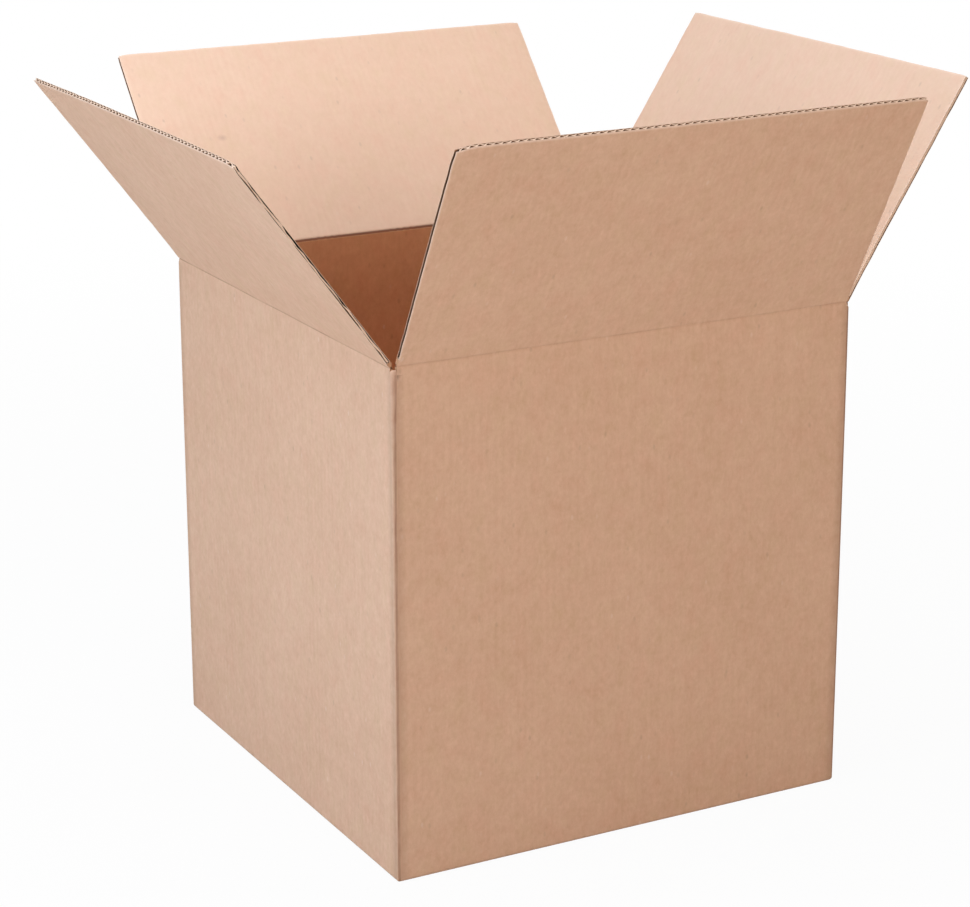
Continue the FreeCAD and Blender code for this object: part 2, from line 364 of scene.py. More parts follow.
def fluted_medium(sheets, hinge, place):
    """The wave of paper between the liners."""
    side, length = hinge.side, hinge.length
    first, last = RECESS[side]
    us = even(first - FLAP_HALF, FLAP_HALF - last, PITCH / FLUTE_STEPS)
    vs = rows_of(hinge.band + 0.001, length - 0.0002, 0.004, 0.012, 0.008)
    u, v = np.meshgrid(us, vs, indexing="ij")
    height = BOARD / 2 - LINER - MEDIUM / 2
    angle = math.tau * (u / PITCH + FLUTE_PHASE[side])
    middle = BOARD / 2 + height * np.sin(angle)
    slope = height * math.tau / PITCH * np.cos(angle)
    normal = 1.0 / np.sqrt(1.0 + slope ** 2)
    thick = MEDIUM / 2 * np.ones(u.shape)
    near_tip = smooth(1.0 - (length - v) / TIP_REACH)
    thick = thick + (TIP_THICK - MEDIUM) / 2 * near_tip
    middle = BOARD / 2 + (middle - BOARD / 2) * (1.0 - TIP_FLATTENED * near_tip)
    if side in FRAYED:
        end, torn_thick, off_middle, uneven = FRAYED[side]
        near_cut = smooth(1.0 - (FLAP_HALF - end * u) / FRAY_REACH)
        wander = 0.0006 * ripple(v, 0.0, 61, 0.018) + 0.0005 * ripple(v, 1.0, 62, 0.09)
        middle = middle + (BOARD / 2 + off_middle + uneven * wander - middle) * near_cut
        torn = torn_thick / 2 * np.clip(1.0 + 0.75 * uneven * ripple(v, 2.0, 63, 0.009), 0.2, 1.7)
        thick = thick + (torn - thick) * near_cut
        slope = slope * (1.0 - near_cut)
        normal = normal + (1.0 - normal) * near_cut
    inset = np.clip((FLAP_HALF - np.abs(u)) / 0.001, 0.0, 1.0)
    along = slope * normal * thick * inset
    through = normal * thick
    deep = depth_inside(u, v, length)
    rows, columns = u.shape
    lowest, highest = LINER * SUNK_TO, BOARD - LINER * SUNK_TO
    low = np.clip(middle - through, lowest, highest)
    high = np.clip(middle + through, lowest, highest)
    high = high + (highest - high) * TIP_FILLED * near_tip
    low_at = sheets.add_points(place(u + along, low, v), hinge.sheet(u, v, False), deep)
    high_at = sheets.add_points(place(u - along, high, v), hinge.sheet(u, v, True), deep)
    sheets.add_faces(grid_faces(low_at, rows, columns), FLUTE)
    sheets.add_faces(grid_faces(high_at, rows, columns, flip=True), FLUTE)
    sheets.add_faces(np.concatenate(rim_faces(low_at, high_at, rows, columns)), CUT)


# How wide the crease is pressed on the inner and outer face, how deep on the outer face, and
# how deep on the inner face along the crease and at its two crushed ends
GROOVE_INSIDE = {"front": 0.0017, "back": 0.0017, "left": 0.0022, "right": 0.0022}
GROOVE_OUTSIDE = {"front": 0.0028, "back": 0.0028, "left": 0.0011, "right": 0.0011}
PRESS_OUTSIDE = {"front": 0.0003, "back": 0.0003, "left": 0.0003, "right": 0.0003}
PRESS_INSIDE = 0.0007
PRESS_AT_END = 0.0020
# How far the crushed ends reach, how far each side of the crease line the board turns, how far
# the crease wanders and its kinks stand out, and how far up and down that is felt
CRUSHED_REACH = 0.006
TURN_REACH = 0.0013
WANDER = 0.0003
KINKS = 0.0003
WANDER_REACH = 0.0045
# How dark the painted shade on the outer face is along the crease
CREASE_SHADE = {"front": 0.24, "back": 0.3, "left": 0.75, "right": 0.75}
# How dark the painted shade on the walls is beside the upright folds, and how far from them it reaches
BESIDE_FOLD_SHADE = 0.3
BESIDE_REACH = 0.003


def crease_band(hinge, materials):
    """The pressed crease between a wall and its flap, bent to the flap's lean as it stands."""
    side = hinge.side
    seed = 70 + SIDE_NUMBER[side]
    down = hinge.at[2] - WALL_TOP
    groove_in, groove_out = GROOVE_INSIDE[side], GROOVE_OUTSIDE[side]
    vs = np.concatenate([[-down], np.linspace(-0.0048, hinge.band, 33)])
    us = even(-FLAP_HALF, FLAP_HALF, 0.0025)
    u, v = np.meshgrid(us, vs, indexing="ij")
    uneven = 1.0 + 0.3 * ripple(u, 0.0, seed + 10, 0.04)
    outer_press = PRESS_OUTSIDE[side]
    near_end = smooth(1.0 - (FLAP_HALF - np.abs(u)) / CRUSHED_REACH)
    inner_press = PRESS_INSIDE + (PRESS_AT_END - PRESS_INSIDE) * near_end
    low = outer_press * smooth(1.0 - np.abs(v) / groove_out) * uneven
    high = BOARD - inner_press * smooth(1.0 - np.abs(v) / groove_in)
    turn = hinge.lean * smooth((v + TURN_REACH) / (2 * TURN_REACH))
    # the crease wanders a little, with small kinks where it crossed a flute
    kinks = KINKS * np.sin(math.tau * u / PITCH) * smooth(ripple(u, 3.0, seed + 20, 0.06))
    wander = WANDER * ripple(u, 0.0, seed + 30, 0.09) + kinks

    def place(u, w, v):
        bent_u, bent_w, _ = bend(side, u, w, v, hinge.length)
        share = smooth((v - 0.001) / (hinge.band - 0.001))
        shift = wander * smooth(1.0 - np.abs(v) / WANDER_REACH)
        return hinge.place(u + (bent_u - u) * share, w + (bent_w - w) * share, v + shift, turn)

    sheets = Sheets()
    rows, columns = u.shape
    # painted shade along the crease on the outer face, made uneven, and beside the upright folds
    shade_strength = 0.7 + 0.4 * ripple(u, v * 4, seed, 0.05)
    outer_shade_line = CREASE_SHADE[side] * np.exp(-((v / (0.5 * groove_out)) ** 2)) * shade_strength
    off_fold = (FLAP_HALF - np.abs(u)) / BESIDE_REACH
    beside_fold_shade = BESIDE_FOLD_SHADE * np.exp(-(off_fold ** 2)) * smooth(-v / 0.004)
    outer_shade_line = np.maximum(outer_shade_line, beside_fold_shade)
    # a thin painted shade line along the crease on the inner face
    inner_shade_line = smooth((v + 0.0015) / 0.0007) * smooth((0.0009 - v) / 0.0007)
    low_at = sheets.add_points(place(u, low, v), hinge.sheet(u, v, False), outer_shade_line)
    high_at = sheets.add_points(place(u, high, v), hinge.sheet(u, v, True), inner_shade_line)
    sheets.add_faces(grid_faces(low_at, rows, columns), OUTSIDE)
    over_crease = np.where(vs[:-1] > -0.0001, LIT_INSIDE, SHADED_WELL)
    sheets.add_faces(grid_faces(high_at, rows, columns, flip=True), np.tile(over_crease, rows - 1))
    rims = rim_faces(low_at, high_at, rows, columns)
    sheets.add_faces(np.concatenate(rims[:2]), FLUTE)
    sheets.add_faces(np.concatenate(rims[2:]), CUT)
    return sheets.mesh(f"{side}_crease", materials, sharp=60.0)


# The four upright folds, in order round the box from the near one: the radius at the foot, how
# much it grows evenly up the fold, and how much more just under the slot
FOLD_RADIUS = (
    (0.0010, 0.0013, 0.0019),
    (0.0022, 0.0010, 0.0010),
    (0.0030, 0.0, 0.0010),
    (0.0025, 0.0, 0.0010),
)
# Where across each fold its pressed line lies, where the painted shade is darkest, from one wall to the
# next
FOLD_LINE = (0.72, 0.45, 0.5, 0.5)
# How wide the painted shade along that line is before and behind its darkest place
LINE_SPREAD = (0.36, 0.17)
# How deep the fold is pressed along that line, as a share of its radius, and how far across
FOLD_HOLLOW = 0.09
FOLD_HOLLOW_REACH = 0.2
# The small sharp radius inside the fold
INNER_RADIUS = 0.0006
# How far a wall bulges at most
WALL_BULGE = 0.0003
# How dark the painted shade on the walls is at the foot, and how far up
FOOT_SHADE = 0.75
FOOT_REACH = 0.0016


def ring_points():
    """Stations round the box: the side, the place along it and the turn round its corner."""
    stations = []
    flat = even(-FLAP_HALF, FLAP_HALF, LINER_STEP * 2)
    for side in range(4):
        stations += [(side, u, -1.0) for u in flat]
        stations += [(side, FLAP_HALF, share) for share in np.linspace(0.0, 1.0, 13)[1:-1]]
    return stations


def near_middle(z):
    """How free a wall is to bulge at the height z: not at all at its two ends."""
    return smooth((WALL_TOP - z) / 0.05) * smooth(z / 0.05)


def ring(z, inside):
    """The wall's section at the heights z: points, sheet coordinates and the fold value, which paints
    shade along the folds and the foot.
    """
    stations = ring_points()
    count = len(stations)
    points = np.zeros((count, len(z), 3))
    sheet = np.zeros((count, len(z), 2))
    fold = np.zeros((count, len(z)))
    face = HALF - BOARD if inside else HALF
    tuck = BOTTOM_RADIUS - np.sqrt(
        np.maximum(BOTTOM_RADIUS ** 2 - np.maximum(BOTTOM_RADIUS - z, 0.0) ** 2, 0.0)
    )
    for k, (side, u, share) in enumerate(stations):
        turn = side * math.pi / 2
        along = np.array([math.cos(turn), math.sin(turn)])
        out = np.array([math.sin(turn), -math.cos(turn)])
        corner = (side + 1) % 4
        rise = np.clip(z / CORNER_TOP, 0.0, 1.0)
        foot, even_growth, top_growth = FOLD_RADIUS[corner]
        radius = foot + even_growth * rise + top_growth * rise ** 9
        if inside:
            radius = np.full(len(z), INNER_RADIUS)
        if share < 0.0:
            free = 1.0 - (u / FLAP_HALF) ** 2
            bulge = WALL_BULGE * (ripple(u, z, 31 + side, 0.2) - 1.0) * free
            x = np.full(len(z), u)
            y = face + bulge * near_middle(z)
            place = x[:, None] * along + y[:, None] * out
            if not inside:
                # painted shade on the wall beside the upright fold
                fold[k] = BESIDE_FOLD_SHADE * math.exp(-((FLAP_HALF - abs(u)) / BESIDE_REACH) ** 2)
        else:
            # one half of the stations run up to the round, and the rest lie on it
            start = np.full(len(z), FLAP_HALF)
            centre = face - radius
            if share <= 0.25:
                x = start + (centre - start) * share / 0.25
                y = np.full(len(z), face)
            elif share >= 0.75:
                x = np.full(len(z), face)
                y = start + (centre - start) * (1.0 - share) / 0.25
            else:
                angle = (share - 0.25) / 0.5 * math.pi / 2
                off_line = (share - FOLD_LINE[corner]) / FOLD_HOLLOW_REACH
                hollow = 0.0 if inside else FOLD_HOLLOW * math.exp(-off_line ** 2)
                reach = radius * (1.0 - hollow)
                x = centre + reach * math.sin(angle)
                y = centre + reach * math.cos(angle)
            place = x[:, None] * along + y[:, None] * out
            if not inside:
                # painted shade along the fold's pressed line, at least as dark as beside it, made
                # uneven
                spread = LINE_SPREAD[0] if share < FOLD_LINE[corner] else LINE_SPREAD[1]
                line = math.exp(-((share - FOLD_LINE[corner]) / spread) ** 2)
                shade_unevenness = 0.8 + 0.2 * ripple(z, share, 47 + corner, 0.03)
                fold[k] = np.maximum(line, BESIDE_FOLD_SHADE) * shade_unevenness
        if not inside:
            # painted shade along the foot of the walls
            fold[k] = np.maximum(fold[k], FOOT_SHADE * np.exp(-((z / FOOT_REACH) ** 2)))
            place = place - tuck[:, None] * place / np.abs(place).max(axis=1)[:, None]
        points[k, :, :2] = place
        points[k, :, 2] = z
        where = side * PERIMETER_SIDE + u + (0.0 if share < 0.0 else share * SLOT)
        sheet[k, :, 0] = where + (INSIDE_SHEET if inside else 0.0)
        sheet[k, :, 1] = z
    return points, sheet, fold


def closed_ring(grid):
    """Repeats the first station at the end, so that the ring closes."""
    return np.concatenate([grid, grid[:1]], axis=0)


def walls(materials):
    """The four walls and the bottom, with rounded folds, seams and the glued lap."""
    sheets = Sheets()
    low_rows = BOTTOM_RADIUS * (1.0 - np.cos(np.linspace(0.0, math.pi / 2, 5)))
    z_wall = np.concatenate([low_rows, even(0.006, WALL_TOP, 0.012)])
    outer, outer_sheet, outer_fold = ring(z_wall, False)
    inner, inner_sheet, inner_fold = ring(z_wall, True)
    rows, columns = len(outer) + 1, len(z_wall)
    out_at = sheets.add_points(closed_ring(outer), closed_ring(outer_sheet), closed_ring(outer_fold))
    in_at = sheets.add_points(closed_ring(inner), closed_ring(inner_sheet), closed_ring(inner_fold))
    sheets.add_faces(grid_faces(out_at, rows, columns), OUTSIDE)
    sheets.add_faces(grid_faces(in_at, rows, columns, flip=True), SHADED_WELL)
    foot, top = rim_faces(out_at, in_at, rows, columns)[2:]
    sheets.add_faces(foot, OUTSIDE)
    sheets.add_faces(top, CUT)
    corner_posts(sheets)
    bottom(sheets)
    lap(sheets)
    return sheets.mesh("walls_and_bottom", materials, sharp=50.0)


# How far the stubs' ends are rounded in towards the middle of the board, as a share, how far
# their last row rises, and how much of the folds' painted shade they keep
POST_ROUNDED = 0.45
POST_RISE = 0.0006
POST_SHADE = 0.7


def corner_posts(sheets):
    """The short stubs of board at the foot of each slot, with their rounded pale ends."""
    z = np.linspace(WALL_TOP, CORNER_TOP, 4)
    outer, outer_sheet, outer_fold = ring(z, False)
    inner, inner_sheet, _ = ring(z, True)
    stations = ring_points()
    for side in range(4):
        picked = [k for k, s in enumerate(stations) if s[0] == side and s[2] >= 0.0]
        picked = [picked[0] - 1] + picked + [(picked[-1] + 1) % len(stations)]
        out_points, in_points = outer[picked].copy(), inner[picked].copy()
        # the cut end is rounded over towards the middle of the board
        middle = (out_points[:, -1] + in_points[:, -1]) / 2
        for points in (out_points, in_points):
            points[:, -1] += (middle - points[:, -1]) * POST_ROUNDED
            points[:, -1, 2] += POST_RISE
        rows, columns = len(picked), len(z)
        # the stubs keep part of the folds' painted shade
        shade_strength = outer_fold[picked] * POST_SHADE
        out_at = sheets.add_points(out_points, outer_sheet[picked], shade_strength)
        in_at = sheets.add_points(in_points, inner_sheet[picked], np.zeros_like(shade_strength))
        sheets.add_faces(grid_faces(out_at, rows, columns), OUTSIDE)
        sheets.add_faces(grid_faces(in_at, rows, columns, flip=True), SHADED_WELL)
        sheets.add_faces(np.concatenate(rim_faces(out_at, in_at, rows, columns)), CUT)


def flat_sheet(u, v, inside):
    """Sheet coordinates of the bottom and the lap, clear of those of the walls."""
    return np.stack([u + 5.0 + (INSIDE_SHEET if inside else 0.0), v + 2.0], axis=-1)


# How far glued pieces run into the wall beside them, and into the board under them
GLUED_BESIDE = 0.0002
GLUED_UNDER = 0.0001
# How far the loose ends of the inner bottom flaps lift at the seam, and how wide
SEAM_LIFT = 0.0006
LIFT_REACH = 0.05


def bottom(sheets):
    """Two outer flaps under two inner ones, closed and glued, with a seam in the middle."""
    edge = HALF - BOARD + GLUED_BESIDE
    seam = CENTRE_GAP

    def lying(u, w, v):
        return np.stack([u, v, w], axis=-1)

    def crosswise(u, w, v):
        return np.stack([v, u, w], axis=-1)

    spans = ((-edge, seam / 2), (seam * 1.5, edge))
    for low, high in spans:
        us = even(-FLAP_HALF, FLAP_HALF, 0.02)
        vs = even(low, high, 0.02)
        u, v = np.meshgrid(us, vs, indexing="ij")
        flat = np.zeros(u.shape)
        slab(sheets, u, v, flat, flat + BOARD, lying, flat_sheet, (OUTSIDE, FLUTE))
    spans = ((-edge, -seam / 2), (seam / 2, edge))
    for low, high in spans:
        us = even(-edge, edge, 0.012)
        vs = rows_of(low, high, 0.006, 0.006, 0.012)
        u, v = np.meshgrid(us, vs, indexing="ij")
        flat = np.zeros(u.shape)
        lift = SEAM_LIFT * np.exp(-np.abs(v) / LIFT_REACH) * (1.0 + 0.5 * ripple(u, v, 55, 0.2))
        top = flat + FLOOR_TOP + lift
        slab(sheets, u, v, flat + BOARD, top, crosswise, flat_sheet, (FLUTE, SHADED_WELL))


def lap(sheets):
    """The lap that runs on from the right wall and is glued to the back wall's inside."""
    face = HALF - BOARD
    edge = face - LAP_WIDTH
    share, rise = np.meshgrid(np.linspace(0.0, 1.0, 12), np.linspace(0.0, 1.0, 40), indexing="ij")
    x = edge + share * (face + GLUED_BESIDE - edge)
    bottom_edge = FLOOR_TOP + LAP_FOOT + LAP_TAPER * (1.0 - share)
    top_edge = LAP_TOP - LAP_TAPER * (1.0 - share)
    z = bottom_edge + rise * (top_edge - bottom_edge)

    def upright(u, w, v):
        return np.stack([u, face - w, v], axis=-1)

    thin = LAP_BOARD * (0.75 + 0.25 * smooth((x - edge) / 0.004))
    flat = np.zeros(x.shape) - GLUED_UNDER
    slab(sheets, x, z, flat, flat + thin, upright, flat_sheet, (FLUTE, SHADED_WELL))


def linear(red, green, blue):
    """A colour given in screen values from 0 to 255, as the shader wants it."""
    out = []
    for value in (red, green, blue):
        share = value / 255.0
        out.append(share / 12.92 if share <= 0.04045 else ((share + 0.055) / 1.055) ** 2.4)
    return (*out, 1.0)


class Nodes:
    """A short way to build a material's node tree."""

    def __init__(self, name):
        self.material = bpy.data.materials.new(name)
        self.material.use_nodes = True
        self.tree = self.material.node_tree
        self.shader = self.tree.nodes["Principled BSDF"]

    def add(self, kind, **values):
        node = self.tree.nodes.new(kind)
        for key, value in values.items():
            setattr(node, key, value)
        return node

    def link(self, source, target):
        self.tree.links.new(source, target)

    def value(self, target, source):
        if hasattr(source, "is_linked"):
            self.link(source, target)
        else:
            target.default_value = source

    def math(self, operation, first, second=0.0, third=0.0):
        node = self.add("ShaderNodeMath", operation=operation)
        for socket, source in zip(node.inputs, (first, second, third)):
            self.value(socket, source)
        return node.outputs[0]

    def stretched(self, vector, along, up, shift=0.0):
        node = self.add("ShaderNodeMapping")
        self.link(vector, node.inputs["Vector"])
        node.inputs["Scale"].default_value = (along, up, 1.0)
        node.inputs["Location"].default_value = (shift, shift, shift)
        return node.outputs[0]

    def noise(self, vector, scale, detail=3.0, roughness=0.55):
        node = self.add("ShaderNodeTexNoise")
        self.link(vector, node.inputs["Vector"])
        node.inputs["Scale"].default_value = scale
        node.inputs["Detail"].default_value = detail
        node.inputs["Roughness"].default_value = roughness
        return node.outputs["Fac"]

    def centred(self, source, strength):
        """A pattern from 0 to 1, as a change of up to about that strength either way."""
        return self.math("MULTIPLY", self.math("SUBTRACT", source, 0.5), strength)

    def clamped(self, source):
        node = self.add("ShaderNodeClamp")
        self.link(source, node.inputs["Value"])
        return node.outputs[0]

    def total(self, sources):
        result = sources[0]
        for source in sources[1:]:
            result = self.math("ADD", result, source)
        return result

    def mix(self, share, first, second, blend="MIX"):
        node = self.add("ShaderNodeMix", data_type="RGBA", blend_type=blend)
        self.value(node.inputs[0], share)
        colours = [s for s in node.inputs if s.type == "RGBA"]
        for socket, source in zip(colours, (first, second)):
            self.value(socket, source)
        return [s for s in node.outputs if s.type == "RGBA"][0]

    def relief(self, height, strength):
        """Fine relief in the surface, for fibres far too small to model."""
        bump = self.add("ShaderNodeBump")
        bump.inputs["Strength"].default_value = strength
        bump.inputs["Distance"].default_value = RELIEF_DEPTH
        self.link(height, bump.inputs["Height"])
        self.link(bump.outputs[0], self.shader.inputs["Normal"])


# How high the liner's finest relief stands, in metres
RELIEF_DEPTH = 0.0003
# The bare fibres along a cut edge
RIM_COLOUR = linear(250, 226, 204)
# A faint rubbed mark on the inside of the back flap, on the unrolled sheet
SMUDGE_AT = (2 * PERIMETER_SIDE + 0.148 + INSIDE_SHEET, 0.5953)
SMUDGE_SIZE = (0.0065, 0.0045)
SMUDGE_SHARE = 0.3


def smudge(n, sheet, colour):
    """Darkens the colour a little over one small soft patch."""
    node = n.add("ShaderNodeMapping", vector_type="TEXTURE")
    n.link(sheet, node.inputs["Vector"])
    node.inputs["Location"].default_value = (*SMUDGE_AT, 0.0)
    node.inputs["Scale"].default_value = (*SMUDGE_SIZE, 1.0)
    away = n.add("ShaderNodeVectorMath", operation="LENGTH")
    n.link(node.outputs[0], away.inputs[0])
    near = n.clamped(n.math("SUBTRACT", 1.0, away.outputs["Value"]))
    return n.mix(n.math("MULTIPLY", near, SMUDGE_SHARE), colour, linear(150, 110, 98))


# The liner's pattern, each layer with its stretch along the sheet and up it, its shift, scale,
# detail and roughness, and its share in the colour
LAYERS = {
    "clouds": (1.0, 0.8, 0.0, 9.0, 3.0, 0.55, 0.5),
    "patches": (1.0, 0.75, 3.0, 80.0, 4.0, 0.62, 0.85),
    "mottle": (1.0, 0.7, 4.0, 240.0, 3.0, 0.62, 0.75),
    "streaks": (210.0, 9.0, 5.0, 1.0, 3.0, 0.6, 0.12),
    "dashes": (620.0, 120.0, 6.0, 1.0, 2.0, 0.6, 0.3),
    "fibres": (1500.0, 500.0, 7.0, 1.0, 3.0, 0.7, 0.5),
}
# The share of some layers in the liner's relief
RELIEF = {"fibres": 0.35, "dashes": 0.2, "mottle": 0.6}
# How much the flutes show through the liner: in its colour as painted shade of the ripples, and in its
# relief
WASHBOARD_SHADE = 0.045
WASHBOARD_RELIEF = 0.12
# What the pinkish and the yellowish areas multiply the colour by
PINKISH = (1.0, 0.955, 0.955, 1.0)
YELLOWISH = (0.975, 0.995, 0.95, 1.0)
# The specks: how many lie along a metre, how large each is as a share of its cell, how strong
# the dark and the light ones are, and the colour of the light ones
SPECK_SCALE = 120.0
SPECK_SIZE = 0.22
DARK_SPECK = 0.22
LIGHT_SPECK = 0.3
LIGHT_SPECK_COLOUR = (0.86, 0.72, 0.58, 1.0)
# How strongly the bare fibres show along a cut edge
RIM_SHARE = 0.55


def kraft(name, pale, deep, fold_colour, fold_share, shift, strength=1.0, marked=False):
    """Kraft liner: finely mottled, faintly streaked along the flutes, with fibres and specks."""
    n = Nodes(name)
    sheet = n.add("ShaderNodeUVMap", uv_map="sheet").outputs[0]
    layers = {}
    tones = []
    for kind, (along, up, moved, scale, detail, roughness, share) in LAYERS.items():
        layers[kind] = n.noise(n.stretched(sheet, along, up, shift + moved), scale, detail, roughness)
        tones.append(n.centred(layers[kind], share * strength))
    tone = n.total(tones)
    # the flutes show through the liner here and there as faint upright bands, painted into the colour
    # as shade of the ripples and also put in the relief
    split = n.add("ShaderNodeSeparateXYZ")
    n.link(sheet, split.inputs[0])
    wave = n.math("SINE", n.math("MULTIPLY", split.outputs[0], math.tau / PITCH))
    patchy = n.noise(n.stretched(sheet, 1.0, 0.5, shift + 9.0), 14.0, 2.0, 0.5)
    shows = n.clamped(n.math("MULTIPLY", n.math("SUBTRACT", patchy, 0.42), 4.0))
    washboard = n.math("MULTIPLY", wave, shows)
    tone = n.math("ADD", tone, n.math("MULTIPLY", washboard, WASHBOARD_SHADE))
    colour = n.mix(n.clamped(n.math("ADD", tone, 0.5)), deep, pale)
    # pinkish and yellowish areas drift into each other
    hue = n.noise(n.stretched(sheet, 1.0, 0.6, shift + 17.0), 50.0, 4.0, 0.6)
    pinkish = n.clamped(n.math("MULTIPLY", n.math("SUBTRACT", hue, 0.5), 4.0))
    yellowish = n.clamped(n.math("MULTIPLY", n.math("SUBTRACT", 0.5, hue), 4.0))
    colour = n.mix(pinkish, colour, PINKISH, "MULTIPLY")
    colour = n.mix(yellowish, colour, YELLOWISH, "MULTIPLY")
    # small soft specks, most of them darker
    field = n.add("ShaderNodeTexVoronoi", feature="F1")
    n.link(n.stretched(sheet, 1.0, 0.55, shift + 23.0), field.inputs["Vector"])
    field.inputs["Scale"].default_value = SPECK_SCALE
    inside_speck = n.math("SUBTRACT", SPECK_SIZE, field.outputs["Distance"])
    near = n.clamped(n.math("MULTIPLY", inside_speck, 8.0))
    chosen = n.add("ShaderNodeSeparateColor")
    n.link(field.outputs["Color"], chosen.inputs[0])
    dark = n.clamped(n.math("MULTIPLY", n.math("SUBTRACT", chosen.outputs[0], 0.72), 3.0))
    light = n.clamped(n.math("MULTIPLY", n.math("SUBTRACT", 0.16, chosen.outputs[0]), 5.0))
    dark = n.math("MULTIPLY", n.math("MULTIPLY", near, dark), DARK_SPECK)
    light = n.math("MULTIPLY", n.math("MULTIPLY", near, light), LIGHT_SPECK)
    colour = n.mix(dark, colour, deep_of(deep, 0.35))
    colour = n.mix(light, colour, LIGHT_SPECK_COLOUR)
    if marked:
        colour = smudge(n, sheet, colour)
    # painted shade at the creases, the upright folds and the foot, where the fold value is above 0
    fold = n.add("ShaderNodeAttribute", attribute_name="fold").outputs["Fac"]
    fold_shade = n.clamped(n.math("MULTIPLY", fold, fold_share))
    colour = n.mix(fold_shade, colour, fold_colour)
    rim = n.clamped(n.math("MULTIPLY", fold, -RIM_SHARE))
    colour = n.mix(rim, colour, RIM_COLOUR)
    n.link(colour, n.shader.inputs["Base Color"])
    n.shader.inputs["Roughness"].default_value = 0.7
    n.shader.inputs["Specular IOR Level"].default_value = 0.4
    heights = [n.math("MULTIPLY", layers[kind], share) for kind, share in RELIEF.items()]
    n.relief(n.total([*heights, n.math("MULTIPLY", washboard, WASHBOARD_RELIEF)]), 0.25)
    return n.material


def deep_of(colour, share):
    """The same colour, darker."""
    return (colour[0] * share, colour[1] * share, colour[2] * share, 1.0)


def paper_edge(name, pale, deep, scale, deep_shade=None):
    """Cut or fluted paper: a plain rough tone broken by short fibres, with painted shade deep inside
    the flutes.
    """
    n = Nodes(name)
    sheet = n.add("ShaderNodeUVMap", uv_map="sheet").outputs[0]
    fibres = n.noise(n.stretched(sheet, 1.0, 1.0), scale, 4.0, 0.7)
    colour = n.mix(fibres, deep, pale)
    # painted shade: the paper turns to this dark colour deeper inside the open flutes
    if deep_shade is not None:
        depth = n.add("ShaderNodeAttribute", attribute_name="fold").outputs["Fac"]
        colour = n.mix(depth, colour, deep_shade)
    n.link(colour, n.shader.inputs["Base Color"])
    n.shader.inputs["Roughness"].default_value = 0.9
    n.shader.inputs["Specular IOR Level"].default_value = 0.2
    n.relief(fibres, 0.3)
    return n.material


def make_materials():
    """The five finishes, in the order of their numbers."""
    # the colour of the painted shade at the folds on the inner liner; the outer liner's is given with
    # it below
    dark_fold = linear(100, 50, 24)
    outside = kraft(
        "kraft_outside", linear(227, 189, 158), linear(203, 159, 126), linear(112, 68, 40), 0.72, 0.0
    )
    # the inner liner comes twice: paler on the flaps as painted light, darker inside the walls and on
    # the bottom as painted shade
    inside = kraft(
        "kraft_inside", linear(244, 214, 189), linear(227, 190, 161), dark_fold, 0.85, 40.0, 0.6, True
    )
    well = kraft("kraft_well", linear(226, 170, 126), linear(202, 144, 102), dark_fold, 0.85, 60.0)
    cut = paper_edge("cut_edge", linear(248, 226, 202), linear(206, 164, 132), 900.0)
    # the flutes' paper, with a near-black brown as painted shade deep inside the open flutes
    flute = paper_edge(
        "flute_paper", linear(206, 162, 126), linear(162, 116, 82), 300.0, linear(40, 19, 8)
    )
    return [outside, inside, well, cut, flute]


def build_box():
    """Walls and bottom on the box, a board on each flap and a band that bends at each crease."""
    materials = make_materials()
    shell = walls(materials)
    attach(shell, "box")
    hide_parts("box_body")
    for side in LEAN:
        hinge = Hinge(side)
        board = flap_board(hinge, materials)
        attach(board, side)
        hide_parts(f"{side}_flap")
        band = crease_band(hinge, materials)
        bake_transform(band)


# The camera, fitted to the corners of the box in the photo of 970 by 907 pixels
IMAGE_WIDTH = 970.0
IMAGE_HEIGHT = 907.0
FOCAL_PIXELS = 2800.0
CENTRE_PIXEL = (481.0, 442.2)
CAMERA_AT = Vector((-1.2323, -2.2416, 1.0929))
CAMERA_LOOKS = Vector((0.45388, 0.84155, -0.29289))
CAMERA_ROLL = math.radians(-0.12)
SENSOR = 36.0


def make_camera():
    """The photo's camera."""
    data = bpy.data.cameras.new("camera")
    data.sensor_width = SENSOR
    data.lens = FOCAL_PIXELS * SENSOR / IMAGE_WIDTH
    data.shift_x = (IMAGE_WIDTH / 2 - CENTRE_PIXEL[0]) / IMAGE_WIDTH
    data.shift_y = -(IMAGE_HEIGHT / 2 - CENTRE_PIXEL[1]) / IMAGE_WIDTH
    data.clip_end = 100.0
    thing = bpy.data.objects.new("camera", data)
    bpy.context.scene.collection.objects.link(thing)
    thing.location = CAMERA_AT
    level = CAMERA_LOOKS.to_track_quat("-Z", "Y").to_matrix()
    thing.rotation_euler = (level @ Matrix.Rotation(CAMERA_ROLL, 3, "Z")).to_euler()
    bpy.context.scene.camera = thing


def area_light(name, at, towards, size, power, colour=(1.0, 1.0, 1.0)):
    """A soft studio lamp of the given width and height in metres and power in watts."""
    data = bpy.data.lights.new(name, "AREA")
    data.shape = "RECTANGLE"
    data.size, data.size_y = size
    data.energy = power
    data.color = colour
    thing = bpy.data.objects.new(name, data)
    bpy.context.scene.collection.objects.link(thing)
    thing.location = at
    direction = Vector(towards) - Vector(at)
    thing.rotation_euler = direction.to_track_quat("-Z", "Y").to_euler()


